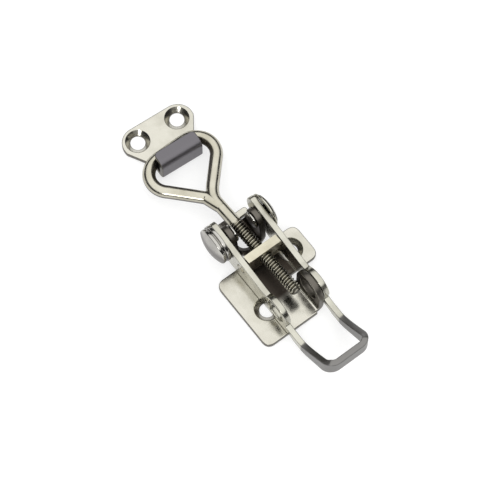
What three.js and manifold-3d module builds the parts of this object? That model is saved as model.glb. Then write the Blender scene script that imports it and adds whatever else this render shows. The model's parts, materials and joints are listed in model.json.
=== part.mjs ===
// An adjustable over-centre toggle latch of polished stainless steel, closed on its catch plate.
// x runs from the catch plate to the handle, y across the latch and z up from the mounting face.
// The origin is on the mounting face, under the middle of the base floor. Everything is in millimetres.

import * as THREE from 'three';
import { mergeVertices } from 'three/addons/utils/BufferGeometryUtils.js';
import Module from 'manifold-3d';

const wasm = await Module();
wasm.setup();

// Clearances and mesh fineness
const runningGap = 0.3;
const arcSteps = 8;
const roundSides = 24;
const overcut = 1;

// Base plate
const baseSheet = 2;
const baseLength = 42.6;
const channelHalfWidth = 6.25;
const bendRadius = 1;
const earRadius = 3.4;
const earFootSpread = 1.6;
const frontHalfWidth = 7.2;
const frontGap = 0.5;
const leftWingStart = 15.8;
const leftWingReach = 16.4;
const rightWingStart = 14.4;
const rightWingLength = 13;
const rightWingReach = 15.8;
const wingCornerRadius = 3;
const lugRadius = 5.9;
const frontHoleInset = 9;
const leftHoleFromFront = 32;
const leftHoleOut = 8.5;
const rightHoleFromFront = 20.6;
const rightHoleOut = 9.5;

// Screws that the holes take
const screwHoleRadius = 2.43;
const screwHeadRadius = 4.1;

// Lever: a flat strip on edge, bent to a loop at its free end
const stripThickness = 2.05;
const pivotFromFront = 7.9;
const pivotHeight = 10.4;
const lobeRadius = 6.3;
const armBottom = 2.4;
const armTop = 10.8;
const noseTop = 14.1;
const noseRound = 3;
const eyeBeyondPivot = 28.2;
const eyeHeight = 7.8;
const eyeRadius = 5.6;
const eyeHoleRadius = 3.75;
const neckBottom = 1.5;
const neckTop = 5;
const neckStartBeyondPivot = 36.6;
const bendBeyondPivot = 41.1;
const leverReach = 55.5;
const gripTop = 12;
const gripDepth = 5.4;
const gripCornerRadius = 4.2;

// Pivot rivets: a tall head on the left, a low head over a washer on the right
const rivetShankRadius = 1.8;
const leftHead = { radius: 6.4, rim: 3, dome: 1.3 };
const rightHead = { radius: 5.2, rim: 0.4, dome: 1.2 };
const rivetTailRadius = 3;
const rivetTailHeight = 0.8;
const washerRadius = 6.1;
const washerThickness = 0.6;

// Cross nut between the arms
const nutBehindPivot = 10.7;
const nutHeight = 8.7;
const nutThickness = 2.9;
const nutDepth = 6.8;
const journalRadius = 1.4;

// Eye bolt: threaded rod with a bent wire loop
const threadRadius = 2;
const neckRadius = 2.05;
const wireRadius = 2.12;
const rodTail = 17;
const threadInFront = 14;
const junctionInFront = 26.2;
const barInFront = 47.6;
const barHeight = 4.85;
const barHalfLength = 5.3;
const loopCornerRadius = 6.6;
const loopSideAngle = THREE.MathUtils.degToRad(43);
const boltTurn = THREE.MathUtils.degToRad(1);
const rodChamfer = 0.6;

// Catch plate with its hook
const catchSheet = 2;
const catchTurn = THREE.MathUtils.degToRad(-3.7);
const hookFrontBeyondBar = 5.75;
const hookHalfWidth = 7.6;
const hookHeight = 10.2;
const lipSheet = 1.8;
const lipLength = 5.5;
const lipCorner = 1.4;
const hookBendRadius = 0.4;
const wallEaseDepth = 0.7;
const wallEaseWidth = 2;
const catchLength = 20.2;
const catchHalfWidth = 12.9;
const catchHoleSpacing = 15;
const catchHoleFromFront = 15.3;
const catchCornerRadius = 5.5;
const catchShoulder = 4.2;

// Places worked out from the sizes above
const baseFront = -baseLength / 2;
const pivotX = baseFront + pivotFromFront;
const armInside = channelHalfWidth + runningGap;
const armOutside = armInside + stripThickness;
const earInside = channelHalfWidth - baseSheet;
const eyeX = pivotX + eyeBeyondPivot;
const nutX = pivotX + nutBehindPivot;
const barX = nutX - Math.sqrt(barInFront ** 2 - (nutHeight - barHeight) ** 2);
const rodTilt = Math.asin((nutHeight - barHeight) / barInFront);
const hookFront = barX + hookFrontBeyondBar;
const leverEnd = pivotX + leverReach;

// Polished and dull stainless steel
function steel(colour, roughness) {
  return new THREE.MeshStandardMaterial({ color: colour, roughness, metalness: 1 });
}
const polishedSteel = steel(0xd6d6c8, 0.16);
const stripSteel = steel(0xbfbeb2, 0.28);
const wireSteel = steel(0xc9c8b6, 0.2);
const nutSteel = steel(0xd2cdb4, 0.34);
const darkSteel = steel(0x69676c, 0.5);

// A closed three.js geometry as a solid that can be joined and cut
function solid(geometry) {
  const bare = geometry.index ? geometry.toNonIndexed() : geometry.clone();
  bare.deleteAttribute('normal');
  bare.deleteAttribute('uv');
  const merged = mergeVertices(bare, 1e-4);
  return new wasm.Manifold(new wasm.Mesh({
    numProp: 3,
    vertProperties: new Float32Array(merged.attributes.position.array),
    triVerts: new Uint32Array(merged.index.array),
  }));
}

// A cut or joined solid back as a three.js geometry
function geometryOf(body) {
  const mesh = body.getMesh();
  const geometry = new THREE.BufferGeometry();
  geometry.setAttribute('position', new THREE.BufferAttribute(mesh.vertProperties, mesh.numProp));
  geometry.setIndex(new THREE.BufferAttribute(mesh.triVerts, 1));
  geometry.computeVertexNormals();
  return geometry;
}

// A plan outline (x, y) raised from z = low to z = high
function raised(shape, low, high) {
  const settings = { depth: high - low, bevelEnabled: false, curveSegments: arcSteps };
  return solid(new THREE.ExtrudeGeometry(shape, settings).translate(0, 0, low));
}

// A side outline (x, z) carried across from y = from to y = to
function across(shape, from, to) {
  const settings = { depth: to - from, bevelEnabled: false, curveSegments: arcSteps };
  return solid(new THREE.ExtrudeGeometry(shape, settings).rotateX(Math.PI / 2).translate(0, to, 0));
}

// A round bar or hole along y through (x, z)
function roundAcross(x, z, radius, from, to) {
  const cylinder = new THREE.CylinderGeometry(radius, radius, to - from, roundSides);
  return solid(cylinder.translate(x, (from + to) / 2, z));
}

// An upright cone or cylinder, radius low at z = bottom and high at z = top
function upright(x, y, lowRadius, highRadius, bottom, top) {
  const cone = new THREE.CylinderGeometry(highRadius, lowRadius, top - bottom, roundSides);
  return solid(cone.rotateX(Math.PI / 2).translate(x, y, (bottom + top) / 2));
}

// A countersunk screw hole through a plate of the given thickness
function screwHole(x, y, thickness) {
  const slope = (screwHeadRadius - screwHoleRadius) / (thickness * 0.8);
  const through = upright(x, y, screwHoleRadius, screwHoleRadius, -overcut, thickness + overcut);
  const topRadius = screwHeadRadius + slope * overcut;
  const sink = upright(x, y, screwHoleRadius, topRadius, thickness * 0.2, thickness + overcut);
  return through.add(sink);
}

// The outline of an upright tab: a foot on the floor that runs up tangent to a round head
function tabOutline(footStart, footEnd, x, z, radius) {
  const shape = new THREE.Shape();
  shape.moveTo(footStart, 0);
  shape.lineTo(footEnd, 0);
  shape.lineTo(x + radius, z);
  shape.absarc(x, z, radius, 0, Math.PI, false);
  shape.lineTo(footStart, 0);
  return shape;
}

// A rounded rectangle in plan, rounded only on its outer corners at y = reach
function wingOutline(start, end, root, reach) {
  const side = Math.sign(reach);
  const corner = wingCornerRadius;
  const shape = new THREE.Shape();
  shape.moveTo(start, root);
  shape.lineTo(start, reach - side * corner);
  shape.quadraticCurveTo(start, reach, start + corner, reach);
  shape.lineTo(end - corner, reach);
  shape.quadraticCurveTo(end, reach, end, reach - side * corner);
  shape.lineTo(end, root);
  shape.lineTo(start, root);
  return shape;
}

// The section of the base channel, both walls tall, with rounded bends
function channelSection(wallHeight) {
  const outer = bendRadius + baseSheet;
  const shape = new THREE.Shape();
  shape.moveTo(-channelHalfWidth + outer, 0);
  shape.lineTo(channelHalfWidth - outer, 0);
  shape.absarc(channelHalfWidth - outer, outer, outer, -Math.PI / 2, 0, false);
  shape.lineTo(channelHalfWidth, wallHeight);
  shape.lineTo(earInside, wallHeight);
  shape.lineTo(earInside, outer);
  shape.absarc(earInside - bendRadius, outer, bendRadius, 0, -Math.PI / 2, true);
  shape.lineTo(-earInside + bendRadius, baseSheet);
  shape.absarc(-earInside + bendRadius, outer, bendRadius, -Math.PI / 2, -Math.PI, true);
  shape.lineTo(-earInside, wallHeight);
  shape.lineTo(-channelHalfWidth, wallHeight);
  shape.lineTo(-channelHalfWidth, outer);
  shape.absarc(-channelHalfWidth + outer, outer, outer, -Math.PI, -Math.PI / 2, false);
  return shape;
}

// The channel over the whole floor, before its walls are cut to ears and lug
function channel() {
  const height = Math.max(pivotHeight + earRadius, eyeHeight + lugRadius) + overcut;
  const settings = { depth: baseLength, bevelEnabled: false, curveSegments: 4 };
  const along = new THREE.ExtrudeGeometry(channelSection(height), settings);
  return solid(along.rotateX(Math.PI / 2).rotateZ(Math.PI / 2).translate(baseFront, 0, 0));
}

// One side of the base seen from the side: the floor with whatever stands up from it
function sideMask(tabs, from, to) {
  const floor = new THREE.Shape();
  floor.moveTo(baseFront, -overcut);
  floor.lineTo(-baseFront, -overcut);
  floor.lineTo(-baseFront, baseSheet);
  floor.lineTo(baseFront, baseSheet);
  return tabs.reduce((mask, tab) => mask.add(across(tab, from, to)), across(floor, from, to));
}

// A slot beside a bend, so that the tab and the wing next to it part cleanly
function relief(start, end, side) {
  const inner = side * (earInside - bendRadius);
  const outer = side * (channelHalfWidth + overcut);
  const shape = new THREE.Shape();
  shape.moveTo(start, inner);
  shape.lineTo(end, inner);
  shape.lineTo(end, outer);
  shape.lineTo(start, outer);
  return raised(shape, -overcut, baseSheet + overcut);
}

// The floor's front edge, wider than the channel, in front of the ears
function frontStrip(end) {
  const shape = new THREE.Shape();
  shape.moveTo(baseFront, -frontHalfWidth);
  shape.lineTo(end, -frontHalfWidth);
  shape.lineTo(end, frontHalfWidth);
  shape.lineTo(baseFront, frontHalfWidth);
  return raised(shape, 0, baseSheet);
}

// Base plate: one pressed sheet with two ears, a lug, a long wing and a short wing
function basePlate() {
  const earStart = pivotX - earRadius - earFootSpread;
  const earEnd = pivotX + earRadius + earFootSpread;
  const leftWing = baseFront + leftWingStart;
  const rightWing = baseFront + rightWingStart;
  const rightWingEnd = rightWing + rightWingLength;
  const ear = () => tabOutline(earStart, earEnd, pivotX, pivotHeight, earRadius);
  const lug = tabOutline(eyeX - lugRadius, eyeX + lugRadius, eyeX, eyeHeight, lugRadius);
  const reach = channelHalfWidth + overcut;
  const mask = sideMask([ear()], -reach, 0).add(sideMask([ear(), lug], 0, reach));
  const root = earInside - bendRadius;
  let body = channel().intersect(mask);
  body = body.add(raised(wingOutline(leftWing, -baseFront, -root, -leftWingReach), 0, baseSheet));
  body = body.add(raised(wingOutline(rightWing, rightWingEnd, root, rightWingReach), 0, baseSheet));
  body = body.add(frontStrip(earStart - frontGap));
  body = body.subtract(relief(earStart - frontGap, earStart, -1));
  body = body.subtract(relief(earStart - frontGap, earStart, 1));
  body = body.subtract(relief(earEnd, leftWing, -1));
  body = body.subtract(relief(earEnd, rightWing, 1));
  body = body.subtract(relief(rightWingEnd, eyeX - lugRadius, 1));
  const bore = rivetShankRadius + runningGap;
  body = body.subtract(roundAcross(pivotX, pivotHeight, bore, -reach, reach));
  body = body.subtract(roundAcross(eyeX, eyeHeight, eyeHoleRadius, 0, reach));
  body = body.subtract(screwHole(baseFront + frontHoleInset, 0, baseSheet));
  body = body.subtract(screwHole(baseFront + leftHoleFromFront, -leftHoleOut, baseSheet));
  body = body.subtract(screwHole(baseFront + rightHoleFromFront, rightHoleOut, baseSheet));
  return geometryOf(body);
}

// The lever seen from the side: rounded nose, tapering arm, padlock eye, neck and turned-up grip
function leverOutline() {
  const shape = new THREE.Shape();
  const heel = -Math.PI * 0.4;
  const brow = Math.PI * 0.92;
  const eyeBack = -Math.PI * 0.12;
  const eyeFront = Math.PI * 0.8;
  const neckX = pivotX + neckStartBeyondPivot;
  const bendX = pivotX + bendBeyondPivot;
  const heelX = pivotX + lobeRadius * Math.cos(heel);
  shape.moveTo(heelX, pivotHeight + lobeRadius * Math.sin(heel));
  shape.quadraticCurveTo(heelX + 2, armBottom, heelX + 4.5, armBottom);
  shape.lineTo(neckX - 2, armBottom);
  shape.quadraticCurveTo(neckX, armBottom, neckX + 1, neckBottom);
  shape.lineTo(bendX - 1, neckBottom);
  shape.quadraticCurveTo(bendX + 2, neckBottom, bendX + 4, neckBottom + 1.4);
  shape.lineTo(leverEnd, gripTop - gripDepth);
  shape.lineTo(leverEnd, gripTop);
  shape.lineTo(leverEnd - stripThickness, gripTop);
  shape.quadraticCurveTo(bendX + 2, neckTop, bendX - 1, neckTop);
  shape.lineTo(neckX + 1, neckTop);
  const eyeBackZ = eyeHeight + eyeRadius * Math.sin(eyeBack);
  shape.quadraticCurveTo(neckX - 1.5, neckTop, eyeX + eyeRadius * Math.cos(eyeBack), eyeBackZ);
  shape.absarc(eyeX, eyeHeight, eyeRadius, eyeBack, eyeFront, false);
  shape.quadraticCurveTo(eyeX - eyeRadius, armTop, eyeX - eyeRadius - 1.5, armTop);
  const noseX = pivotX + lobeRadius * Math.cos(brow);
  shape.lineTo(noseX + noseRound, noseTop);
  shape.quadraticCurveTo(noseX + 0.6, noseTop + 0.3, noseX, pivotHeight + lobeRadius * Math.sin(brow));
  shape.absarc(pivotX, pivotHeight, lobeRadius, brow, heel + 2 * Math.PI, false);
  return shape;
}

// The lever seen from above: a long U, open towards the catch
function leverPlan(halfWidth, end, corner) {
  const front = pivotX - lobeRadius - overcut;
  const shape = new THREE.Shape();
  shape.moveTo(front, -halfWidth);
  shape.lineTo(end - corner, -halfWidth);
  shape.absarc(end - corner, -halfWidth + corner, corner, -Math.PI / 2, 0, false);
  shape.lineTo(end, halfWidth - corner);
  shape.absarc(end - corner, halfWidth - corner, corner, 0, Math.PI / 2, false);
  shape.lineTo(front, halfWidth);
  return shape;
}

// Handle lever: the strip's plan and side outline together, with its bores
function handleLever() {
  const top = Math.max(noseTop, eyeHeight + eyeRadius) + overcut;
  const outer = raised(leverPlan(armOutside, leverEnd, gripCornerRadius), 0, top);
  const innerCorner = gripCornerRadius - stripThickness;
  const innerEnd = leverEnd - stripThickness;
  const inner = raised(leverPlan(armInside, innerEnd, innerCorner), -overcut, top + overcut);
  const reach = armOutside + overcut;
  let body = outer.subtract(inner).intersect(across(leverOutline(), -reach, reach));
  const bores = [
    [pivotX, pivotHeight, rivetShankRadius + runningGap],
    [nutX, nutHeight, journalRadius + runningGap],
    [eyeX, eyeHeight, eyeHoleRadius],
  ];
  for (const [x, z, radius] of bores) {
    body = body.subtract(roundAcross(x, z, radius, -reach, reach));
  }
  return geometryOf(body);
}

// A round piece turned from its (radius, distance along y) profile, outwards on the given side
function turned(profile, side, x, z) {
  const points = profile.map(([radius, along]) => new THREE.Vector2(radius, along));
  const geometry = new THREE.LatheGeometry(points, roundSides);
  if (side < 0) {
    geometry.rotateX(Math.PI);
  }
  return geometryOf(solid(geometry.translate(x, 0, z)));
}

// Pivot rivet: domed head outside, shank through arm and ear, closed tail inside the ear
function pivotRivet(side, head, headStart) {
  const tailEnd = earInside - runningGap - rivetTailHeight;
  const tailStart = earInside - runningGap;
  const profile = [
    [0, tailEnd],
    [rivetTailRadius - 0.5, tailEnd],
    [rivetTailRadius, tailEnd + 0.4],
    [rivetTailRadius, tailStart],
    [rivetShankRadius, tailStart],
    [rivetShankRadius, headStart],
    [head.radius, headStart],
  ];
  const domeSteps = 8;
  for (let step = 0; step <= domeSteps; step += 1) {
    const angle = (step / domeSteps) * Math.PI / 2;
    const radius = step === domeSteps ? 0 : head.radius * Math.cos(angle);
    profile.push([radius, headStart + head.rim + head.dome * Math.sin(angle)]);
  }
  return turned(profile, side, pivotX, pivotHeight);
}

// Washer between the right arm and its rivet's head
function pivotWasher() {
  const start = armOutside + runningGap;
  const bore = rivetShankRadius + runningGap;
  const profile = [
    [bore, start],
    [washerRadius, start],
    [washerRadius, start + washerThickness],
    [bore, start + washerThickness],
    [bore, start],
  ];
  return turned(profile, 1, pivotX, pivotHeight);
}

// Cross nut: a flat bar with a turned journal at each end, drilled for the rod, on its own axes
function crossNut() {
  const halfLength = armInside - runningGap;
  const block = solid(new THREE.BoxGeometry(nutThickness, 2 * halfLength, nutDepth));
  const journals = roundAcross(0, 0, journalRadius, -armOutside, armOutside);
  const bore = new THREE.CylinderGeometry(
    threadRadius + runningGap, threadRadius + runningGap, 2 * nutThickness, roundSides);
  return geometryOf(block.add(journals).subtract(solid(bore.rotateZ(Math.PI / 2))));
}

// Half of the wire loop's centre line, from inside the rod's neck to the middle of the bar
function loopPath(side) {
  const path = new THREE.CurvePath();
  const at = (x, y) => new THREE.Vector3(x, side * y, 0);
  const junction = -junctionInFront;
  const cornerX = -barInFront + loopCornerRadius;
  const sideStartX = cornerX + loopCornerRadius * Math.cos(loopSideAngle);
  const sideStartY = barHalfLength + loopCornerRadius * Math.sin(loopSideAngle);
  const turnIn = junction - 3;
  const slope = sideStartY / (junction - sideStartX);
  const points = [];
  const cornerSteps = 9;
  for (let step = 0; step <= cornerSteps; step += 1) {
    const angle = Math.PI - (Math.PI - loopSideAngle) * (step / cornerSteps);
    points.push(at(cornerX + loopCornerRadius * Math.cos(angle),
      barHalfLength + loopCornerRadius * Math.sin(angle)));
  }
  path.add(new THREE.LineCurve3(at(-barInFront, -0.01), points[0]));
  for (let step = 0; step < cornerSteps; step += 1) {
    path.add(new THREE.LineCurve3(points[step], points[step + 1]));
  }
  path.add(new THREE.LineCurve3(points[cornerSteps], at(turnIn, slope * (junction - turnIn))));
  path.add(new THREE.QuadraticBezierCurve3(at(turnIn, slope * (junction - turnIn)),
    at(junction, 0), at(junction + 3, 0)));
  return path;
}

// A round wire along a path
function wire(path, radius, steps) {
  const section = new THREE.Shape();
  section.absarc(0, 0, radius, 0, 2 * Math.PI, false);
  const settings = { steps, bevelEnabled: false, extrudePath: path, curveSegments: arcSteps };
  return solid(new THREE.ExtrudeGeometry(section, settings));
}

// A round rod along x with a chamfer at its far end
function rodAlong(start, end, radius, chamfer) {
  const profile = [
    [0, start],
    [radius, start],
    [radius, end - chamfer],
    [radius - chamfer, end],
    [0, end],
  ];
  const points = profile.map(([r, along]) => new THREE.Vector2(r, along));
  return solid(new THREE.LatheGeometry(points, roundSides).rotateZ(-Math.PI / 2));
}

// Eye bolt on its own axes: rod along x through the nut's middle, loop towards -x
function eyeBolt() {
  let body = rodAlong(-threadInFront, rodTail, threadRadius, rodChamfer);
  body = body.add(rodAlong(-junctionInFront, -threadInFront + overcut, neckRadius, 0));
  for (const side of [-1, 1]) {
    body = body.add(wire(loopPath(side), wireRadius, 30));
  }
  return geometryOf(body);
}

// The hook's section: the plate turned up at its front and curled back over the bar
function hookSection() {
  const bend = hookBendRadius;
  const outer = bend + catchSheet;
  const back = -lipLength - overcut;
  const under = hookHeight - lipSheet;
  const shape = new THREE.Shape();
  shape.moveTo(back, 0);
  shape.lineTo(-outer, 0);
  shape.absarc(-outer, outer, outer, -Math.PI / 2, 0, false);
  shape.lineTo(0, hookHeight - outer);
  shape.absarc(-outer, hookHeight - outer, outer, 0, Math.PI / 2, false);
  shape.lineTo(-lipLength, hookHeight);
  shape.lineTo(-lipLength, under);
  shape.lineTo(-catchSheet - bend, under);
  shape.absarc(-catchSheet - bend, under - bend, bend, Math.PI / 2, 0, true);
  shape.lineTo(-catchSheet, catchSheet + bend);
  shape.absarc(-catchSheet - bend, catchSheet + bend, bend, 0, -Math.PI / 2, true);
  shape.lineTo(back, catchSheet);
  return shape;
}

// The catch plate seen from above: square back with round corners, tapering to the hook
function catchOutline() {
  const corner = catchCornerRadius;
  const cornerX = -catchLength + corner;
  const cornerY = catchHalfWidth - corner;
  const leave = Math.PI * 0.42;
  const touchX = cornerX + corner * Math.cos(leave);
  const touchY = cornerY + corner * Math.sin(leave);
  const front = -catchSheet - hookBendRadius - 0.5;
  const shape = new THREE.Shape();
  shape.moveTo(front, -hookHalfWidth);
  shape.lineTo(front, hookHalfWidth);
  shape.lineTo(-catchShoulder - overcut, hookHalfWidth);
  shape.lineTo(touchX, touchY);
  shape.absarc(cornerX, cornerY, corner, leave, Math.PI, false);
  shape.absarc(cornerX, -cornerY, corner, Math.PI, 2 * Math.PI - leave, false);
  shape.lineTo(-catchShoulder - overcut, -hookHalfWidth);
  return shape;
}

// A corner cut off the hook's lip, standing upright
function lipCornerCut(side) {
  const shape = new THREE.Shape();
  const back = -lipLength - overcut;
  const edge = side * (hookHalfWidth + overcut);
  const cut = lipCorner + 2 * overcut;
  shape.moveTo(back, edge);
  shape.lineTo(back + cut, edge);
  shape.lineTo(back, edge - side * cut);
  return raised(shape, hookHeight / 2, hookHeight + overcut);
}

// The rear corner of the hook's wall, eased to clear the loop's bend
function wallEase(side) {
  const edge = side * (hookHalfWidth + overcut);
  const back = -catchSheet - overcut;
  const slope = wallEaseDepth / wallEaseWidth;
  const shape = new THREE.Shape();
  shape.moveTo(back, side * (hookHalfWidth - wallEaseWidth) - side * overcut / slope);
  shape.lineTo(-catchSheet + wallEaseDepth + slope * overcut, edge);
  shape.lineTo(back, edge);
  return raised(shape, catchSheet, hookHeight - lipSheet);
}

// Catch plate: the keeper with two countersunk holes and its hook, front of the hook at x = 0
function catchPlate() {
  let body = raised(catchOutline(), 0, catchSheet);
  let hook = across(hookSection(), -hookHalfWidth, hookHalfWidth);
  for (const side of [-1, 1]) {
    hook = hook.subtract(lipCornerCut(side)).subtract(wallEase(side));
  }
  body = body.add(hook);
  for (const side of [-1, 1]) {
    body = body.subtract(screwHole(-catchHoleFromFront, side * catchHoleSpacing / 2, catchSheet));
  }
  return geometryOf(body);
}

// A named piece
function piece(name, geometry, material) {
  const mesh = new THREE.Mesh(geometry, material);
  mesh.name = name;
  return mesh;
}

const latch = new THREE.Group();
latch.add(piece('base_plate', basePlate(), polishedSteel));
latch.add(piece('handle_lever', handleLever(), stripSteel));
const leftRivet = pivotRivet(-1, leftHead, armOutside + runningGap);
latch.add(piece('pivot_rivet_left', leftRivet, polishedSteel.clone()));
const rightRivet = pivotRivet(1, rightHead, armOutside + washerThickness + 2 * runningGap);
latch.add(piece('pivot_rivet_right', rightRivet, polishedSteel.clone()));
latch.add(piece('pivot_washer', pivotWasher(), stripSteel.clone()));

// The nut and the eye bolt share the rod's tilted axes
const rodAxes = new THREE.Group();
rodAxes.position.set(nutX, 0, nutHeight);
rodAxes.rotation.y = -rodTilt;
rodAxes.add(piece('cross_nut', crossNut(), nutSteel));
const boltMesh = piece('eye_bolt', eyeBolt(), wireSteel);
boltMesh.rotation.z = boltTurn;
rodAxes.add(boltMesh);
latch.add(rodAxes);

const catchMesh = piece('catch_plate', catchPlate(), darkSteel);
catchMesh.position.set(hookFront, 0, 0);
catchMesh.rotation.z = catchTurn;
latch.add(catchMesh);

export default latch;
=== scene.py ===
"""An adjustable over-centre toggle latch of polished stainless steel, closed on its catch plate.

Lengths are worked out in millimetres and put into the meshes in metres. x runs from the catch
plate to the handle, y across the latch and z up from the mounting face. A pressed piece is a flat
blank with rounded edges that is then folded, and a round piece is a profile carried along a line.
"""
import json

import bmesh
import bpy
import numpy as np
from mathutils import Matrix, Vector
from mathutils.geometry import delaunay_2d_cdt


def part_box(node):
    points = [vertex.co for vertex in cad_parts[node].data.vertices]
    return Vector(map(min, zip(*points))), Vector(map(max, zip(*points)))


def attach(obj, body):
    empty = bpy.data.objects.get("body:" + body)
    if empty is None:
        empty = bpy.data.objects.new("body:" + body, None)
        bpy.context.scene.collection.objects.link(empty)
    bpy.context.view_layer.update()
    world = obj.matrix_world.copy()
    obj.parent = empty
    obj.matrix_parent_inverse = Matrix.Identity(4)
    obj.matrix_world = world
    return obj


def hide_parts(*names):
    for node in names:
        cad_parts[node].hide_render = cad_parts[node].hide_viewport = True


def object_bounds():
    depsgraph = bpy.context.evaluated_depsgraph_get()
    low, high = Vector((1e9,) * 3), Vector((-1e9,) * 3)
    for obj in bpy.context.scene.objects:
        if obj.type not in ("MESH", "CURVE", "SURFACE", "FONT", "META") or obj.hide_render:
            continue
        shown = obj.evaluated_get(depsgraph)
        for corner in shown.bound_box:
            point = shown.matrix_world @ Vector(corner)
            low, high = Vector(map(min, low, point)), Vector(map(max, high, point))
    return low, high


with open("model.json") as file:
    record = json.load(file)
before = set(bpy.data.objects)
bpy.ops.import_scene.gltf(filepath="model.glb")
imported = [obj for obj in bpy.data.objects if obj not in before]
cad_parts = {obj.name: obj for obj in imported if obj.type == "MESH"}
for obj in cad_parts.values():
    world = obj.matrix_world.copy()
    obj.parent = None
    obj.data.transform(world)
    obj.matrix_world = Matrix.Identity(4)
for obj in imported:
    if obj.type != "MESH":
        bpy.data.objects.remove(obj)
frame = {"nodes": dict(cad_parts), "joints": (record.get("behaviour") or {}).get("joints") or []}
cad_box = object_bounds()

MM = 0.001
RIGHT_ANGLE = np.pi / 2


def node_box(name):
    """A CAD node's lowest and highest corners in millimetres."""
    low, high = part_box(name)
    return np.array(low) / MM, np.array(high) / MM


base_low, base_high = node_box("base_plate")
lever_low, lever_high = node_box("handle_lever")
catch_high = node_box("catch_plate")[1]
left_rivet_low, left_rivet_high = node_box("pivot_rivet_left")
right_rivet_low, right_rivet_high = node_box("pivot_rivet_right")
washer_low, washer_high = node_box("pivot_washer")
hinges = {joint["name"]: joint for joint in frame["joints"]}

# Places that the frame gives
pivot = np.array(hinges["lever_hinge"]["pos_m"]) / MM
nut_centre = np.array(hinges["nut_hinge"]["pos_m"]) / MM
slide_axis = np.array(hinges["rod_adjust"]["axis"])
ARM_OUTSIDE = lever_high[1]

# Sizes that more than one piece follows
STRIP = 2.05
HALF_CHANNEL = 6.25
SHEET = 2.0
PADLOCK_EYE_X = pivot[0] + 28.2
PADLOCK_EYE_HEIGHT = 7.8
PADLOCK_HOLE = 3.75
RIVET_BORE = 2.1
SCREW_BORE = 2.43
SCREW_HEAD = 4.1
CUT_EDGE = 0.3
POINT_SPACING = 0.5
CATCH_TURN = np.radians(-3.7)
HOOK_HALF_WIDTH = 7.6
TURNED_SIDES = 72


# ---------------------------------------------------------------- outlines

def arc(x, y, radius, start, end, steps):
    """Points round (x, y): the centre plus radius times (cosine, sine) of evenly spaced angles."""
    angle = np.linspace(start, end, steps)
    return np.stack([x + radius * np.cos(angle), y + radius * np.sin(angle)], 1)


def bow(start, bend, end, steps):
    """A quadratic curve: (1-t)^2 start + 2t(1-t) bend + t^2 end."""
    t = np.linspace(0, 1, steps)[:, None]
    start, bend, end = (np.array(point, float) for point in (start, bend, end))
    return (1 - t) ** 2 * start + 2 * t * (1 - t) * bend + t ** 2 * end


def joined(*parts):
    """Points and runs of points as one run, with repeated points left out."""
    run = np.vstack([np.atleast_2d(np.array(part, float)) for part in parts])
    keep = np.ones(len(run), bool)
    keep[1:] = np.linalg.norm(np.diff(run, axis=0), axis=1) > 1e-4
    if np.linalg.norm(run[0] - run[-1]) < 1e-4:
        keep[-1] = False
    return run[keep]


def close_spaced(loop, spacing):
    """A closed loop with each long edge cut into equal shares no longer than spacing."""
    after = np.roll(loop, -1, 0)
    shares = np.maximum(1, np.ceil(np.linalg.norm(after - loop, axis=1) / spacing)).astype(int)
    edge = np.repeat(np.arange(len(loop)), shares)
    first = np.repeat(np.cumsum(shares) - shares, shares)
    t = (np.arange(len(edge)) - first) / shares[edge]
    return loop[edge] + t[:, None] * (after - loop)[edge]


def inset(loop, amount):
    """Each point moved to its left by amount, along the mitre of its two edges' normals."""
    ahead = np.roll(loop, -1, 0) - loop
    ahead = ahead / np.linalg.norm(ahead, axis=1)[:, None]
    behind = np.roll(ahead, 1, 0)
    normals = [np.stack([-d[:, 1], d[:, 0]], 1) for d in (ahead, behind)]
    mitre = normals[0] + normals[1]
    share = np.maximum(0.7, 1 + (normals[0] * normals[1]).sum(1))
    return loop + amount * mitre / share[:, None]


def within(points, loop):
    """Whether each point is inside a loop: the count of edges that its ray to the right crosses."""
    px, py = points[:, 0, None], points[:, 1, None]
    ax, ay = loop[:, 0], loop[:, 1]
    bx, by = np.roll(ax, -1), np.roll(ay, -1)
    spans = (ay > py) != (by > py)
    rise = np.where(by == ay, 1e-12, by - ay)
    return (spans & (px < (bx - ax) * (py - ay) / rise + ax)).sum(1) % 2 == 1


# ---------------------------------------------------------------- pressed sheet

def rounded_edge(thickness, radius, steps=4):
    """A cut edge from the lower face to the upper one: a quarter round, a flat and a quarter round."""
    angle = np.linspace(0, RIGHT_ANGLE, steps)
    low = np.stack([radius * (1 - np.sin(angle)), radius * (1 - np.cos(angle))], 1)
    low = np.vstack([(radius + min(0.07, radius * 0.3), 0), low])
    high = np.stack([low[::-1, 0], thickness - low[::-1, 1]], 1)
    return np.vstack([low, high])


def countersink(bore, head, thickness):
    """A screw hole's edge: a short straight bore, a cone out to the head's size and a soft rim."""
    reach = head - bore
    return np.array([
        (0.3, 0), (0.22, 0), (0.06, 0.07), (0, 0.24), (0, thickness * 0.22),
        (0.03, thickness * 0.25), (0.12, thickness * 0.3), (reach - 0.2, thickness - 0.21),
        (reach - 0.12, thickness - 0.13), (reach - 0.01, thickness - 0.04),
        (reach + 0.12, thickness), (reach + 0.2, thickness)])


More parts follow.
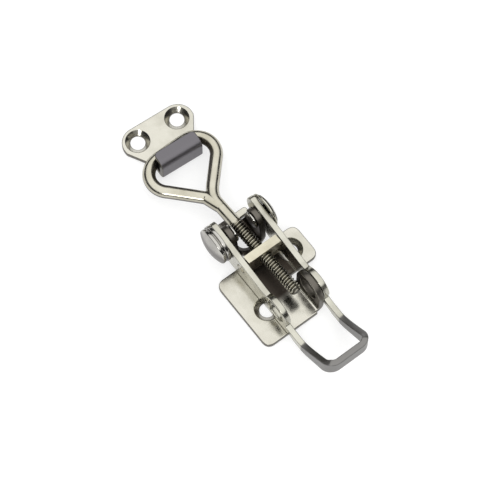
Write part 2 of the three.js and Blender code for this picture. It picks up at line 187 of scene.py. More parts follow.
def face_fill(loops, lines_u, lines_v, clear):
    """The flat face between an outer loop and its holes, as triangles on a grid of inner points.

    The grid's points nearer to a loop than clear are left out. The first loop is the outside."""
    grid = np.stack(np.meshgrid(lines_u, lines_v, indexing="ij"), -1).reshape(-1, 2)
    keep = within(grid, loops[0])
    for hole in loops[1:]:
        keep &= ~within(grid, hole)
    grid = grid[keep]
    rim = np.vstack(loops)
    far = np.array([np.min(((rim - part[:, None]) ** 2).sum(2), axis=1)
                    for part in np.array_split(grid, max(1, len(grid) // 500))], object)
    grid = grid[np.concatenate(list(far)).astype(float) > clear ** 2]
    starts = np.cumsum([0] + [len(loop) for loop in loops])
    edges = [(int(a), int(b)) for k, loop in enumerate(loops)
             for a, b in zip(starts[k] + np.arange(len(loop)),
                             starts[k] + np.roll(np.arange(len(loop)), -1))]
    points = np.vstack([rim, grid])
    found = delaunay_2d_cdt([Vector(p) for p in points], edges, [], 0, 1e-7)
    source = np.array([origin[0] for origin in found[3]])
    faces = source[np.array(found[2])]
    middles = points[faces].mean(1)
    keep = within(middles, loops[0])
    for hole in loops[1:]:
        keep &= ~within(middles, hole)
    return grid, faces[keep]


def pressed(name, loops, profiles, lines_u, lines_v, fold):
    """A blank of sheet with shaped edges, folded: fold takes (u, v, height) to (x, y, z).

    Each loop carries its edge profile of (inset, height) pairs. Rings of the same number of points
    join face to face, and the two faces are filled with triangles."""
    vertices, faces, ends = [], [], []
    count = 0
    for loop, profile in zip(loops, profiles):
        size, rings = len(loop), len(profile)
        for amount, height in profile:
            flat = inset(loop, amount)
            vertices.append(np.column_stack([flat, np.full(size, height)]))
        index = count + np.arange(size * rings).reshape(rings, size)
        turned = np.roll(index, -1, 1)
        quads = np.stack([index[:-1], turned[:-1], turned[1:], index[1:]], -1)
        faces += quads.reshape(-1, 4).tolist()
        ends.append((index[0], index[-1]))
        count += size * rings
    for end in (0, 1):
        height = profiles[0][-end][1]
        face_loops = [inset(loop, profile[-end][0]) for loop, profile in zip(loops, profiles)]
        grid, fill = face_fill(face_loops, lines_u, lines_v, 0.2)
        rim = np.concatenate([pair[end] for pair in ends])
        index = np.concatenate([rim, count + np.arange(len(grid))])
        vertices.append(np.column_stack([grid, np.full(len(grid), height)]))
        faces += index[fill].tolist()
        count += len(grid)
    flat = np.vstack(vertices)
    # Painted shade share: one where the cut edge stands furthest out, falling to nought 0.3 mm in and on
    # the faces.
    inside = np.concatenate([np.repeat(np.clip(1 - profile[:, 0] / 0.3, 0, 1), len(loop))
                             for loop, profile in zip(loops, profiles)])
    painted_edge_shade = np.zeros(len(flat))
    painted_edge_shade[:len(inside)] = inside
    return finished(name, fold(flat[:, 0], flat[:, 1], flat[:, 2]), faces, painted_edge_shade)


def finished(name, points, faces, painted_edge_shade=None):
    """A mesh object from points in millimetres, its faces turned outwards and shaded smooth.

    The last argument says how near each point is to a cut edge, or how deep it lies in a thread groove,
    from nought on the faces to one. It is kept as an attribute, and the material paints it as shade."""
    mesh = bpy.data.meshes.new(name)
    mesh.from_pydata((np.array(points) * MM).tolist(), [], faces)
    if painted_edge_shade is not None:
        edge = mesh.attributes.new("painted_edge_shade", "FLOAT", "POINT")
        edge.data.foreach_set("value", np.array(painted_edge_shade, np.float32))
    shell = bmesh.new()
    shell.from_mesh(mesh)
    bmesh.ops.remove_doubles(shell, verts=shell.verts, dist=1e-7)
    bmesh.ops.recalc_face_normals(shell, faces=shell.faces)
    shell.to_mesh(mesh)
    shell.free()
    mesh.polygons.foreach_set("use_smooth", np.ones(len(mesh.polygons), bool))
    thing = bpy.data.objects.new(name, mesh)
    bpy.context.scene.collection.objects.link(thing)
    return thing


def tube(name, rings, closed_ends=True, painted_edge_shade=None):
    """A surface through rings of points, joined in order, with each end gathered to its middle."""
    count, size = rings.shape[:2]
    index = np.arange(count * size).reshape(count, size)
    turned = np.roll(index, -1, 1)
    quads = np.stack([index[:-1], turned[:-1], turned[1:], index[1:]], -1)
    faces = quads.reshape(-1, 4).tolist()
    points = rings.reshape(-1, 3)
    if closed_ends:
        for ring, middle in ((index[0], len(points)), (index[-1], len(points) + 1)):
            fan = np.stack([ring, np.roll(ring, -1), np.full(size, middle)], 1)
            faces += fan.tolist()
        points = np.vstack([points, rings[0].mean(0), rings[-1].mean(0)])
    if painted_edge_shade is not None:
        painted_edge_shade = np.concatenate([painted_edge_shade.reshape(-1), np.zeros(len(points) - count * size)])
    return finished(name, points, faces, painted_edge_shade)


# ---------------------------------------------------------------- base plate

def base_plate():
    """One pressed sheet: floor, two ears, a padlock lug, a long left wing and a short right wing.

    Past |v| = flat the ears and the lug are rolled up a quarter turn and then run straight up."""
    front, rear = base_low[0], base_high[0]
    inner_bend = 1.0
    bend = inner_bend + SHEET
    flat = HALF_CHANNEL - bend
    wall = flat + (bend - SHEET / 2) * RIGHT_ANGLE
    ear, spread, lug, eye = 3.4, 1.6, 5.9, PADLOCK_EYE_X
    ear_v = wall + pivot[2] - bend
    lug_v = wall + PADLOCK_EYE_HEIGHT - bend
    left_wing, right_wing, wing_end = front + 15.8, front + 14.4, front + 27.4
    slot = 0.5

    def ear_run(side):
        run = joined((pivot[0] - ear - spread, flat),
                     arc(pivot[0], ear_v, ear, np.pi, 0, 33),
                     (pivot[0] + ear + spread, flat))
        return run * (1, side)

    foot = pivot[0] - ear - spread - slot
    lip = 7.2
    outer = joined(
        arc(front + 1, -lip + 1, 1, np.pi, np.pi * 1.5, 6), (foot, -lip), (foot, -flat),
        ear_run(-1), (left_wing, -flat),
        bow((left_wing, base_low[1] + 3), (left_wing, base_low[1]), (left_wing + 3, base_low[1]), 12),
        bow((rear - 3, base_low[1]), (rear, base_low[1]), (rear, base_low[1] + 3), 12),
        (rear, flat), (eye + lug, flat),
        arc(eye, lug_v, lug, 0, np.pi, 41), (eye - lug, flat),
        (wing_end, flat),
        bow((wing_end, base_high[1] - 3), (wing_end, base_high[1]),
            (wing_end - 3, base_high[1]), 12),
        bow((right_wing + 3, base_high[1]), (right_wing, base_high[1]),
            (right_wing, base_high[1] - 3), 12),
        (right_wing, flat), ear_run(1)[::-1], (foot, flat), (foot, lip),
        arc(front + 1, lip - 1, 1, np.pi / 2, np.pi, 6))
    loops = [close_spaced(outer, POINT_SPACING)]
    profiles = [rounded_edge(SHEET, 0.32)]
    bores = ((pivot[0], -ear_v, RIVET_BORE), (pivot[0], ear_v, RIVET_BORE), (eye, lug_v, PADLOCK_HOLE))
    for x, v, radius in bores:
        loops.append(arc(x, v, radius, 2 * np.pi, 0, 49)[:-1])
        profiles.append(rounded_edge(SHEET, 0.25))
    for x, v in ((front + 9, 0), (front + 32, -8.5), (front + 20.6, 9.5)):
        loops.append(arc(x, v, SCREW_BORE, 2 * np.pi, 0, 49)[:-1])
        profiles.append(countersink(SCREW_BORE, SCREW_HEAD, SHEET))

    def fold(u, v, height):
        at_ears = np.abs(u - pivot[0]) < ear + spread + 0.1
        at_lug = (np.abs(u - eye) < lug + 0.1) & (v > 0)
        standing = at_ears | at_lug
        past = np.where(standing, np.abs(v) - flat, 0)
        turn = np.clip(past / (wall - flat) * RIGHT_ANGLE, 0, RIGHT_ANGLE)
        rise = np.clip(past - (wall - flat), 0, None)
        out = flat + (bend - height) * np.sin(turn)
        up = bend - (bend - height) * np.cos(turn) + rise
        bent = past > 0
        return np.stack([u, np.where(bent, np.sign(v) * out, v), np.where(bent, up, height)], 1)

    fine = np.linspace(flat, wall, 13)
    beyond = np.arange(wall, lug_v + lug + 1, 0.7)[1:]
    middle = np.linspace(-flat, flat, 10)
    lines_v = np.concatenate([-beyond[::-1], -fine[::-1], middle[1:-1], fine, beyond])
    return pressed("base_sheet", loops, profiles, np.arange(front, rear, 0.7), lines_v, fold)


# ---------------------------------------------------------------- lever

def handle_lever():
    """A flat strip on edge, rounded along its edges and bent to a long U, open towards the catch.

    s runs along the strip from the middle of its closed end, the left arm being negative."""
    end = lever_high[0]
    corner = 4.2
    centre_x, centre_y = end - corner, ARM_OUTSIDE - corner
    middle_radius = corner - STRIP / 2
    straight = centre_y
    round_end = straight + middle_radius * RIGHT_ANGLE
    eye, eye_rim = PADLOCK_EYE_X, 5.6
    neck, bend = pivot[0] + 36.6, pivot[0] + 41.1
    lobe, low, top = 6.3, 2.4, 10.8
    heel, brow, eye_back, eye_front = -np.pi * 0.4, np.pi * 0.92, -np.pi * 0.12, np.pi * 0.8
    heel_x, nose_x = pivot[0] + lobe * np.cos(heel), pivot[0] + lobe * np.cos(brow)
    heel_z, nose_z = pivot[2] + lobe * np.sin(heel), pivot[2] + lobe * np.sin(brow)
    nose_top = 14.1
    grip_top, grip_depth = lever_high[2], 5.4

    under = joined((end, grip_top - grip_depth), (bend + 4, 2.9),
                   bow((bend + 4, 2.9), (bend + 2, 1.5), (bend - 1, 1.5), 12), (neck + 1, 1.5),
                   bow((neck + 1, 1.5), (neck, low), (neck - 2, low), 8), (heel_x + 4.5, low),
                   bow((heel_x + 4.5, low), (heel_x + 2, low), (heel_x, heel_z), 8))
    nose = arc(pivot[0], pivot[2], lobe, heel, brow - 2 * np.pi, 61)
    back_x = eye + eye_rim * np.cos(eye_back)
    back_z = PADLOCK_EYE_HEIGHT + eye_rim * np.sin(eye_back)
    front_x = eye + eye_rim * np.cos(eye_front)
    front_z = PADLOCK_EYE_HEIGHT + eye_rim * np.sin(eye_front)
    over = joined(bow((nose_x, nose_z), (nose_x + 0.6, nose_top + 0.3), (nose_x + 3, nose_top), 12),
                  (eye - 7.1, top),
                  bow((eye - 7.1, top), (eye - eye_rim, top), (front_x, front_z), 8),
                  arc(eye, PADLOCK_EYE_HEIGHT, eye_rim, eye_front, eye_back, 41),
                  bow((back_x, back_z), (neck - 1.5, 5), (neck + 1, 5), 10),
                  (bend - 1, 5), bow((bend - 1, 5), (bend + 2, 5), (end - STRIP, grip_top), 24))

    def along(x):
        return round_end + centre_x - x

    angle = np.linspace(0, RIGHT_ANGLE, 13)
    corner_s = straight + middle_radius * (RIGHT_ANGLE - angle)
    corner_x = centre_x + middle_radius * np.sin(angle)
    level = under[::-1]
    below = np.interp(corner_x, level[:, 0], level[:, 1])
    above = np.interp(corner_x, over[:, 0], over[:, 1])
    lower = under[under[:, 0] < centre_x]
    upper = over[over[:, 0] < centre_x]
    arm = np.vstack([
        np.stack([corner_s[::-1], below[::-1]], 1),
        np.stack([along(lower[:, 0]), lower[:, 1]], 1),
        np.stack([along(nose[:, 0]), nose[:, 1]], 1),
        np.stack([along(upper[:, 0]), upper[:, 1]], 1),
        np.stack([corner_s, above], 1)])
    # Seen from outside, the right arm runs the outline one way and the left arm the other.
    outer = joined(arm, arm[::-1] * (-1, 1))
    loops = [close_spaced(outer, POINT_SPACING)]
    area = np.cross(loops[0], np.roll(loops[0], -1, 0)).sum()
    if area < 0:
        loops[0] = loops[0][::-1]
    profiles = [rounded_edge(STRIP, CUT_EDGE)]
    for side in (-1, 1):
        bores = ((pivot[0], pivot[2], RIVET_BORE, 0.2), (eye, PADLOCK_EYE_HEIGHT, PADLOCK_HOLE, 0.3),
                 (nut_centre[0], nut_centre[2], 1.7, 0.15))
        for x, z, radius, soft in bores:
            loops.append(arc(side * along(x), z, radius, 2 * np.pi, 0, 49)[:-1])
            profiles.append(rounded_edge(STRIP, soft))

    def fold(s, z, depth):
        past = np.abs(s)
        turn = np.clip((past - straight) / middle_radius, 0, RIGHT_ANGLE)
        reach = corner - depth
        run = np.clip(past - round_end, 0, None)
        x = centre_x + reach * np.cos(turn) - run
        y = np.where(past < straight, past, centre_y + reach * np.sin(turn))
        return np.stack([x, np.sign(s) * y, z], 1)

    arm_lines = np.arange(round_end, along(lever_low[0]), 0.8)
    turn_lines = np.linspace(straight, round_end, 13)
    lines = np.concatenate([-arm_lines[::-1], -turn_lines[::-1][1:],
                            np.linspace(-straight, straight, 9)[1:-1], turn_lines, arm_lines[1:]])
    return pressed("lever_strip", loops, profiles, lines, np.arange(1.6, 17, 0.8), fold)


# ---------------------------------------------------------------- catch plate

def catch_plate():
    """The keeper: its blank is a tapered plate with round corners, folded twice into the hook.

    p runs along the blank, nought where the first bend starts, and the lip thins a little."""
    bend, wall, lip = 2.4, 5.4, 3.1
    arc_length = (bend - SHEET / 2) * RIGHT_ANGLE
    hook_end = 2 * arc_length + wall + lip
    half, corner, back = HOOK_HALF_WIDTH, 5.5, bend - 20.2
    corner_p, corner_y = back + corner, 12.9 - corner
    leave = np.pi * 0.42
    right = joined((hook_end, 0.3), (hook_end, half - 1.8),
                   bow((hook_end, half - 1.8), (hook_end, half), (hook_end - 1.6, half), 8),
                   (0, half), bow((-2.0, half), (-2.8, half), (-3.5, half + 0.4), 8),
                   arc(corner_p, corner_y, corner, leave, np.pi, 25))
    outer = joined(right, right[::-1] * (1, -1))
    loops = [close_spaced(outer, POINT_SPACING)]
    profiles = [rounded_edge(SHEET, CUT_EDGE)]
    for side in (-1, 1):
        loops.append(arc(bend - 15.3, side * 7.5, SCREW_BORE, 2 * np.pi, 0, 49)[:-1])
        profiles.append(countersink(SCREW_BORE, SCREW_HEAD, SHEET))
    hook_front = catch_hook_front()

    def fold(p, y, height):
        first = np.clip(p / arc_length * RIGHT_ANGLE, 0, RIGHT_ANGLE)
        second = np.clip((p - arc_length - wall) / arc_length * RIGHT_ANGLE, 0, RIGHT_ANGLE)
        depth = height * (1 - 0.1 * second / RIGHT_ANGLE)
        climb = np.clip(p - arc_length, 0, wall)
        over = np.clip(p - 2 * arc_length - wall, 0, None)
        reach = bend - depth
        angle = first + second
        x = -bend + np.minimum(p, 0) + reach * np.sin(angle) - over
        z = bend - reach * np.cos(angle) + climb
        turned_x = x * np.cos(CATCH_TURN) - y * np.sin(CATCH_TURN)
        turned_y = x * np.sin(CATCH_TURN) + y * np.cos(CATCH_TURN)
        return np.stack([hook_front + turned_x, turned_y, z], 1)

    lines = np.concatenate([np.arange(back, 0, 0.7), np.linspace(0, arc_length, 13),
                            np.linspace(arc_length, arc_length + wall, 7)[1:-1],
                            np.linspace(arc_length + wall, hook_end - lip, 13),
                            np.linspace(hook_end - lip, hook_end, 5)[1:-1]])
    return pressed("catch_sheet", loops, profiles, lines, np.arange(-12.6, 12.7, 0.7), fold)


def catch_hook_front():
    """x of the turned hook's front face at the middle, from the catch's highest x and half width."""
    return catch_high[0] + HOOK_HALF_WIDTH * np.sin(CATCH_TURN)


# ---------------------------------------------------------------- eye bolt

def eye_bolt():
    """One bent rod: thread, neck, then round the loop and back against the neck.

    A ring of radius r(along, angle) is carried on the centre line. On the thread r falls and rises
    once a pitch, the phase being the distance less the angle's share of a turn. The rod's axes are
    tilted down towards the catch, and the bolt is turned a little in them."""
    wire, pitch, thread_depth, end_chamfer = 2.12, 1.0, 0.62, 0.7
    tail, thread_front, junction, bar = 17.0, -14.0, -26.2, -47.6
    corner, half, side_angle = 6.6, 5.3, np.radians(43)
    centre_x = bar + corner
    leave = np.array([centre_x + corner * np.cos(side_angle), half + corner * np.sin(side_angle)])
    slope = leave[1] / (junction - leave[0])
    meet = np.array([junction - 3, slope * 3])

    rod = np.stack([np.arange(tail, thread_front, -0.1), np.zeros(310)], 1)
    start = np.stack([np.linspace(thread_front, junction + 3, 24), np.zeros(24)], 1)
    flow = bow((junction + 3, 0), (junction, 0), meet, 24)
    turn = arc(centre_x, half, corner, side_angle, np.pi, 40)
    side = np.linspace(meet, leave, 24)
    across = np.stack([np.full(16, bar), np.linspace(half, -half, 16)], 1)
    back = (turn * (1, -1))[::-1]
    touch = np.array([junction - 0.6, -slope * 0.6 - 1.1])
    home = np.linspace(leave * (1, -1), touch, 26)
    tuck = bow(touch, (junction + 1.2, -1.2), (junction + 5.5, 0.1), 20)
    line = joined(rod, start, flow, side, turn, across, back, home, tuck)

    ahead = np.gradient(line, axis=0)
    ahead = ahead / np.linalg.norm(ahead, axis=1)[:, None]
    outward = np.stack([-ahead[:, 1], ahead[:, 0]], 1)
    angle = np.linspace(0, 2 * np.pi, 48, endpoint=False)
    length = np.concatenate([[0], np.cumsum(np.linalg.norm(np.diff(line, axis=0), axis=1))])
    left = tail - thread_front - length
    phase = (length[:, None] / pitch - angle / (2 * np.pi)) % 1
    groove = 0.5 + 0.5 * np.cos(2 * np.pi * phase)
    depth = thread_depth * np.clip(left / 1.6, 0, 1)
    chamfer = end_chamfer * (1 - np.clip(length / end_chamfer, 0, 1))
    radius = np.minimum(wire - depth[:, None] * groove ** 0.8, wire - chamfer[:, None])
    plane = line[:, None, :] + (radius * np.cos(angle))[..., None] * outward[:, None, :]
    local = np.concatenate([plane, (radius * np.sin(angle))[..., None]], -1)
    # Painted shade in the thread's grooves, by their depth.
    return tube("eye_bolt_rod", rod_to_latch(local), painted_edge_shade=depth[:, None] * groove / thread_depth)


def rod_to_latch(local):
    """Points on the rod's axes, in the latch: along the slide, level across it, and up from both."""
    along = -slide_axis / np.linalg.norm(slide_axis)
    tilt = np.arcsin(along[2])
    turned = np.arctan2(along[1], along[0] / np.cos(tilt))
    across = np.array([-np.sin(turned) * np.cos(tilt), np.cos(turned), -np.sin(turned) * np.sin(tilt)])
    up = np.cross(along, across)
    return nut_centre + local[..., :1] * along + local[..., 1:2] * across + local[..., 2:] * up


# ---------------------------------------------------------------- rivets, washer and nut

def turned_piece(name, profile, side, sides=TURNED_SIDES):
    """A profile of (radius, distance) pairs turned about the pivot, outwards on the given side."""
    profile = np.array(profile, float)
    angle = np.linspace(0, 2 * np.pi, sides, endpoint=False)
    rings = np.stack([
        pivot[0] + profile[:, :1] * np.cos(angle),
        np.repeat(side * profile[:, 1:], sides, 1),
        pivot[2] + profile[:, :1] * np.sin(angle)], -1)
    return tube(name, rings)


def dome(radius, start, rise, soft, steps=14):
    """The rim's rounded corner and then a shallow cap, thinning out towards the middle."""
    corner = arc(radius - soft, start - soft, soft, 0, np.pi * 0.38, 7)
    x, y = corner[-1]
    t = np.linspace(0, 1, steps)[1:]
    cap = np.stack([x * (1 - t), y + (start + rise - y) * (1 - (1 - t) ** 2.2)], 1)
    cap[-1, 0] = 0.02
    return np.vstack([corner, cap])


def pivot_rivet(name, side, low, high, head, rim, rise, groove=None):
    """A rivet from its closed tail inside the ear to its domed head outside the arm.

    A tall head has a groove round it, between its collar and its dome."""
    tail_start, tail_end, tail, shank = 3.95, 3.15, 3.0, 1.8
    face = max(abs(low), abs(high)) - rim - rise
    collar = [(head - 0.32, face), (head - 0.25, face), (head - 0.07, face + 0.07),
              (head, face + 0.25)]
    if groove:
        start, width, deep = groove
        near, far = face + start, face + start + width
        collar += [(head, near - 0.2), (head - 0.08, near - 0.05), (head - 0.3, near),
                   (head - deep, near + 0.05), (head - deep, far), (head - 0.45, far + 0.05),
                   (head - 0.22, far + 0.12), (head - 0.15, far + 0.3)]
    crown = dome(head - (0.15 if groove else 0), face + rim, rise, min(0.5, rim * 0.6))
    profile = np.vstack([
        [(0.02, tail_end), (tail - 0.8, tail_end), (tail - 0.3, tail_end + 0.12), (tail, tail_end + 0.4),
         (tail, tail_start), (shank, tail_start), (shank, face)], collar, crown])
    return turned_piece(name, profile, side)


def washer():
    """A flat ring with softened edges round the right rivet's shank."""
    start, end = washer_low[1], washer_high[1]
    outer, bore = (washer_high[0] - washer_low[0]) / 2, 2.4
    profile = [(bore, start), (outer - 0.2, start), (outer - 0.05, start + 0.06), (outer, start + 0.2),
               (outer, end - 0.2), (outer - 0.05, end - 0.06), (outer - 0.2, end), (bore, end),
               (bore, start)]
    angle = np.linspace(0, 2 * np.pi, TURNED_SIDES, endpoint=False)
    profile = np.array(profile)
    rings = np.stack([
        pivot[0] + profile[:, :1] * np.cos(angle),
        np.repeat(profile[:, 1:], TURNED_SIDES, 1),
        pivot[2] + profile[:, :1] * np.sin(angle)], -1)
    return tube("washer_ring", rings, closed_ends=False)


def cross_nut():
    """The nut's own solid with its edges broken by a small bevel."""
    source = frame["nodes"]["cross_nut"]
    mesh = source.data.copy()
    mesh.name = "nut_block"
    shell = bmesh.new()
    shell.from_mesh(mesh)
    bmesh.ops.remove_doubles(shell, verts=shell.verts, dist=1e-6)
    bmesh.ops.dissolve_limit(shell, angle_limit=0.01, verts=shell.verts, edges=shell.edges)
    shell.to_mesh(mesh)
    shell.free()
    mesh.polygons.foreach_set("use_smooth", np.ones(len(mesh.polygons), bool))
    thing = bpy.data.objects.new("nut_block", mesh)
    bpy.context.scene.collection.objects.link(thing)
    edge = thing.modifiers.new("broken_edges", "BEVEL")
    edge.width = 0.28 * MM
    edge.segments = 3
    edge.limit_method = "ANGLE"
    edge.angle_limit = np.radians(40)
    edge.harden_normals = True
    return thing


# ---------------------------------------------------------------- finishes

def linked(material, source, target):
    """One link between two node sockets."""
    material.node_tree.links.new(source, target)


def node_of(material, kind, **settings):
    """A shader node of a kind, with its properties or inputs set by name."""
    node = material.node_tree.nodes.new(kind)
    for name, value in settings.items():
        if hasattr(node, name):
            setattr(node, name, value)
        else:
            node.inputs[name.replace("_", " ").title()].default_value = value
    return node


def ramp(material, source, stops):
    """A colour ramp through (place, colour) stops, fed by a value."""
    node = node_of(material, "ShaderNodeValToRGB")
    elements = node.color_ramp.elements
    for k, (place, colour) in enumerate(stops):
        element = elements[k] if k < 2 else elements.new(place)
        element.position = place
        element.color = (*colour, 1)
    linked(material, source, node.inputs["Fac"])
    return node.outputs["Color"]


def pattern(material, stretch, scale, detail=4, turn=(0, 0, 0)):
    """A noise on Object coordinates, stretched and turned, in waves to the millimetre."""
    place = node_of(material, "ShaderNodeTexCoord")
    mapping = node_of(material, "ShaderNodeMapping")
    mapping.inputs["Scale"].default_value = tuple(s * 1000 for s in stretch)
    mapping.inputs["Rotation"].default_value = turn
    linked(material, place.outputs["Object"], mapping.inputs["Vector"])
    noise = node_of(material, "ShaderNodeTexNoise")
    noise.inputs["Scale"].default_value = scale
    noise.inputs["Detail"].default_value = detail
    linked(material, mapping.outputs["Vector"], noise.inputs["Vector"])
    return noise.outputs["Fac"]


def blended(material, share, first, second):
    """A colour that goes from the first to the second as share goes from nought to one."""
    mix = node_of(material, "ShaderNodeMix", data_type="RGBA")
    linked(material, share, mix.inputs["Factor"])
    for socket, colour in (("A", first), ("B", second)):
        if isinstance(colour, tuple):
            mix.inputs[6 if socket == "A" else 7].default_value = (*colour, 1)
        else:
            linked(material, colour, mix.inputs[6 if socket == "A" else 7])
    return mix.outputs[2]


def stepped(material, source, low, high):
    """A value that rises smoothly from nought at low to one at high."""
    step = node_of(material, "ShaderNodeMapRange", interpolation_type="SMOOTHSTEP")
    step.inputs["From Min"].default_value = low
    step.inputs["From Max"].default_value = high
    linked(material, source, step.inputs["Value"])
    return step.outputs["Result"]


def product(material, *shares):
    """The product of several values."""
    result = shares[0]
    for share in shares[1:]:
        times = node_of(material, "ShaderNodeMath", operation="MULTIPLY")
        linked(material, result, times.inputs[0])
        linked(material, share, times.inputs[1])
        result = times.outputs[0]
    return result


def place_on_piece(material):
    """The x, y and z sockets of the Object coordinates."""
    place = node_of(material, "ShaderNodeTexCoord")
    apart = node_of(material, "ShaderNodeSeparateXYZ")
    linked(material, place.outputs["Object"], apart.inputs["Vector"])
    return apart.outputs["X"], apart.outputs["Y"], apart.outputs["Z"]


def absolute(material, source):
    """A value without its sign."""
    size = node_of(material, "ShaderNodeMath", operation="ABSOLUTE")
    linked(material, source, size.inputs[0])
    return size.outputs[0]


def steel(name, light, dark, smooth, rough, grain=(1, 1, 1), scratch=0.02, turn=(0, 0, 0),
          painted_edge_shade=None, painted_shade_mask=None, painted_shade_colour=(0.06, 0.05, 0.042)):
    """Bare stainless steel: cloudy tarnish in the colour, handling smears and grain in the gloss,
    and fine scratches that stand in the bump. Painted shade makes the cut edges, the thread's grooves
    and the masked places darker and dull.

    The mask is a function of the material that gives the share of painted shade at each place."""
    material = bpy.data.materials.new(name)
    material.use_nodes = True
    shader = material.node_tree.nodes["Principled BSDF"]
    shader.inputs["Metallic"].default_value = 1.0
    cloud = pattern(material, (1, 1, 1), 0.16, 5)
    colour = ramp(material, cloud, [(0.32, dark), (0.62, light)])
    smear = pattern(material, (1, 1, 1), 0.45, 6)
    gloss = ramp(material, smear, [(0.35, (smooth,) * 3), (0.7, (rough,) * 3)])
    # Painted shade: the places that the mask gives take a dark, duller colour.
    if painted_shade_mask:
        share = painted_shade_mask(material)
        colour = blended(material, share, colour, painted_shade_colour)
        gloss = blended(material, share, gloss, (0.42,) * 3)
    # Painted shade: cut edges and thread grooves take a dark, duller colour by the mesh's edge
    # attribute.
    if painted_edge_shade:
        edge = node_of(material, "ShaderNodeAttribute", attribute_name="painted_edge_shade")
        near = stepped(material, edge.outputs["Fac"], 0.25, 0.95)
        colour = blended(material, near, colour, painted_edge_shade)
        gloss = blended(material, near, gloss, (0.38,) * 3)
    linked(material, colour, shader.inputs["Base Color"])
    linked(material, gloss, shader.inputs["Roughness"])
    lines = pattern(material, grain, 1.0, 3, turn)
    pits = pattern(material, (1, 1, 1), 3.2, 2)
    both = node_of(material, "ShaderNodeMix", data_type="FLOAT")
    both.inputs["Factor"].default_value = 0.35
    linked(material, lines, both.inputs["A"])
    linked(material, pits, both.inputs["B"])
    bump = node_of(material, "ShaderNodeBump")
    bump.inputs["Strength"].default_value = 0.5
    bump.inputs["Distance"].default_value = scratch * MM
    linked(material, both.outputs["Result"], bump.inputs["Height"])
    linked(material, bump.outputs["Normal"], shader.inputs["Normal"])
    return material


def channel_painted_shade(material):
    """Painted shade between the ears: all along the channel but for its rear end, taken together with
    the painted side shade.
    """
    x, y, _ = place_on_piece(material)
    near_middle = stepped(material, absolute(material, y), 0.0068, 0.0060)
    ahead = stepped(material, x, 0.0125, 0.0095)
    behind = stepped(material, x, -0.0190, -0.0182)
    cloud = ramp(material, pattern(material, (1, 1, 1), 0.3, 4),
                 [(0.2, (0.8,) * 3), (0.5, (1,) * 3)])
    return largest(material, product(material, near_middle, ahead, behind, cloud), painted_side_shade(material))


def largest(material, first, second):
    """The larger of two values."""
    most = node_of(material, "ShaderNodeMath", operation="MAXIMUM")
    linked(material, first, most.inputs[0])
    linked(material, second, most.inputs[1])
    return most.outputs[0]


def painted_side_shade(material):
    """Painted shade on the sides and the underside: faces whose normals point sideways or down are
    darkened.
    """
    place = node_of(material, "ShaderNodeTexCoord")
    apart = node_of(material, "ShaderNodeSeparateXYZ")
    linked(material, place.outputs["Normal"], apart.inputs["Vector"])
    return stepped(material, apart.outputs["Z"], 0.32, 0.08)


def hook_painted_shade(material):
    """Painted shade on the hook, from a little way up its wall to the end of its lip, taken together
    with the painted side shade.
    """
    z = place_on_piece(material)[2]
    return largest(material, stepped(material, z, 0.0021, 0.0034), painted_side_shade(material))


def grip_painted_shade(material):
    """Painted shade on the closed end of the strip, past the bend in its neck."""
    x = place_on_piece(material)[0]
    return stepped(material, x, 0.0275, 0.0282)


WARM = (0.52, 0.505, 0.45)
SHADE = (0.43, 0.415, 0.36)
# Colour of the painted shade on the cut edges.
PAINTED_EDGE_SHADE_COLOUR = (0.13, 0.12, 0.105)
# Below, the colours for cut edges, grooves and masked places are painted shade.
pressed_steel = steel("pressed_steel", WARM, SHADE, 0.14, 0.24, (0.5, 5, 1), 0.006,
                      painted_edge_shade=PAINTED_EDGE_SHADE_COLOUR, painted_shade_mask=channel_painted_shade)
strip_steel = steel("strip_steel", (0.5, 0.49, 0.43), (0.38, 0.37, 0.32), 0.18, 0.32, (0.4, 1, 6),
                    0.008, painted_shade_mask=grip_painted_shade, painted_shade_colour=(0.2, 0.195, 0.19))
rod_steel = steel("rod_steel", (0.5, 0.48, 0.41), (0.4, 0.38, 0.31), 0.16, 0.28, (1, 1, 4), 0.006,
                  painted_edge_shade=(0.05, 0.045, 0.036), painted_shade_mask=painted_side_shade, painted_shade_colour=(0.14, 0.132, 0.13))
rivet_steel = steel("rivet_steel", (0.5, 0.49, 0.46), (0.36, 0.35, 0.33), 0.1, 0.2, (2, 2, 2), 0.004,
                    painted_shade_mask=painted_side_shade, painted_shade_colour=(0.2, 0.19, 0.185))
nut_steel = steel("nut_steel", (0.55, 0.52, 0.42), (0.42, 0.39, 0.3), 0.25, 0.4, (1, 4, 1), 0.01)
catch_steel = steel("catch_steel", WARM, SHADE, 0.14, 0.24, (0.5, 5, 1), 0.006,
                    painted_edge_shade=PAINTED_EDGE_SHADE_COLOUR, painted_shade_mask=hook_painted_shade, painted_shade_colour=(0.15, 0.143, 0.155))


# ---------------------------------------------------------------- pieces and their bodies

def placed(thing, material, body, node):
    """A finished piece with its material, riding on its body in place of its CAD node."""
    thing.data.materials.clear()
    thing.data.materials.append(material)
    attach(thing, body)
    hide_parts(node)


placed(base_plate(), pressed_steel, "mounting", "base_plate")
placed(handle_lever(), strip_steel, "lever", "handle_lever")
placed(catch_plate(), catch_steel, "mounting", "catch_plate")
placed(eye_bolt(), rod_steel, "bolt", "eye_bolt")
placed(cross_nut(), nut_steel, "nut", "cross_nut")
placed(pivot_rivet("left_rivet", -1, left_rivet_low[1], left_rivet_high[1], 6.4, 3.0, 1.3,
                   (1.2, 0.5, 0.9)),
       rivet_steel, "mounting", "pivot_rivet_left")
placed(pivot_rivet("right_rivet", 1, right_rivet_low[1], right_rivet_high[1], 5.2, 0.4, 1.2),
       rivet_steel, "mounting", "pivot_rivet_right")
placed(washer(), strip_steel, "mounting", "pivot_washer")


# ---------------------------------------------------------------- floor, lights and camera

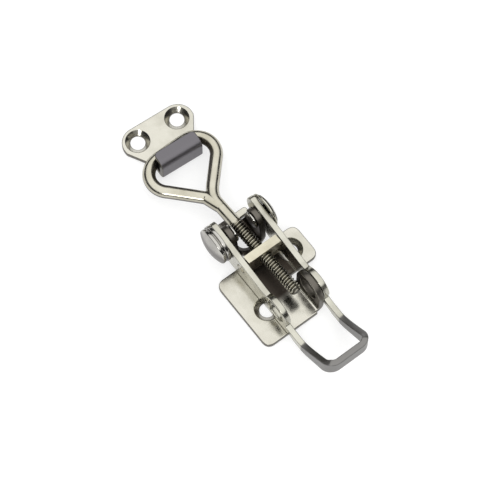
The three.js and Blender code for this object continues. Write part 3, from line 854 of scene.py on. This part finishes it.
def floor():
    """A plain pale floor under the mounting face, with a little light of its own."""
    mesh = bpy.data.meshes.new("floor")
    reach = 0.6
    corners = [(-reach, -reach, 0), (reach, -reach, 0), (reach, reach, 0), (-reach, reach, 0)]
    mesh.from_pydata(corners, [], [(0, 1, 2, 3)])
    thing = bpy.data.objects.new("floor", mesh)
    bpy.context.scene.collection.objects.link(thing)
    material = bpy.data.materials.new("floor_paper")
    material.use_nodes = True
    shader = material.node_tree.nodes["Principled BSDF"]
    shader.inputs["Base Color"].default_value = (0.4, 0.4, 0.4, 1)
    shader.inputs["Roughness"].default_value = 0.9
    shader.inputs["Emission Color"].default_value = (1, 1, 1, 1)
    shader.inputs["Emission Strength"].default_value = 0.66
    mesh.materials.append(material)
    below_piece = 0.02 * MM
    thing.location.z = float(min(cad_box[0][2], 0)) - below_piece


def softbox(name, place, aim, width, height, power):
    """A rectangular area light at a place, turned to face a point."""
    data = bpy.data.lights.new(name, "AREA")
    data.shape = "RECTANGLE"
    data.size, data.size_y = width, height
    data.energy = power
    lamp = bpy.data.objects.new(name, data)
    bpy.context.scene.collection.objects.link(lamp)
    lamp.location = place
    lamp.rotation_euler = (Vector(aim) - Vector(place)).to_track_quat("-Z", "Y").to_euler()


def camera():
    """A long lens that looks steeply down on the latch from its left side."""
    data = bpy.data.cameras.new("camera")
    data.sensor_width = 36
    data.lens = 190.3
    data.clip_start = 0.01
    eye = bpy.data.objects.new("camera", data)
    bpy.context.scene.collection.objects.link(eye)
    aim = Vector((-0.01348, -0.0007, 0))
    distance = 0.8048
    round_angle = np.radians(52.69 - 90)
    up_angle = np.radians(67.6)
    back = Vector((np.cos(up_angle) * np.cos(round_angle),
                   np.cos(up_angle) * np.sin(round_angle), np.sin(up_angle)))
    eye.location = aim + distance * back
    eye.rotation_euler = back.to_track_quat("Z", "Y").to_euler()
    bpy.context.scene.camera = eye


def room():
    """The room's own light: a bright even ceiling that falls to dark walls near the horizon."""
    world = bpy.data.worlds.new("room")
    world.use_nodes = True
    place = world.node_tree.nodes.new("ShaderNodeTexCoord")
    apart = world.node_tree.nodes.new("ShaderNodeSeparateXYZ")
    fade = world.node_tree.nodes.new("ShaderNodeMapRange")
    fade.interpolation_type = "SMOOTHSTEP"
    fade.inputs["From Min"].default_value = 0.42
    fade.inputs["From Max"].default_value = 0.66
    fade.inputs["To Min"].default_value = 0.03
    fade.inputs["To Max"].default_value = 1.55
    sky = world.node_tree.nodes["Background"]
    world.node_tree.links.new(place.outputs["Generated"], apart.inputs["Vector"])
    world.node_tree.links.new(apart.outputs["Z"], fade.inputs["Value"])
    world.node_tree.links.new(fade.outputs["Result"], sky.inputs["Strength"])
    sky.inputs["Color"].default_value = (1, 1, 0.985, 1)
    bpy.context.scene.world = world


floor()
middle = (cad_box[0] + cad_box[1]) / 2
softbox("side", (0.45, -0.7, 0.45), middle, 0.25, 0.25, 1.6)
camera()
room()
bpy.context.scene.view_settings.view_transform = "Standard"
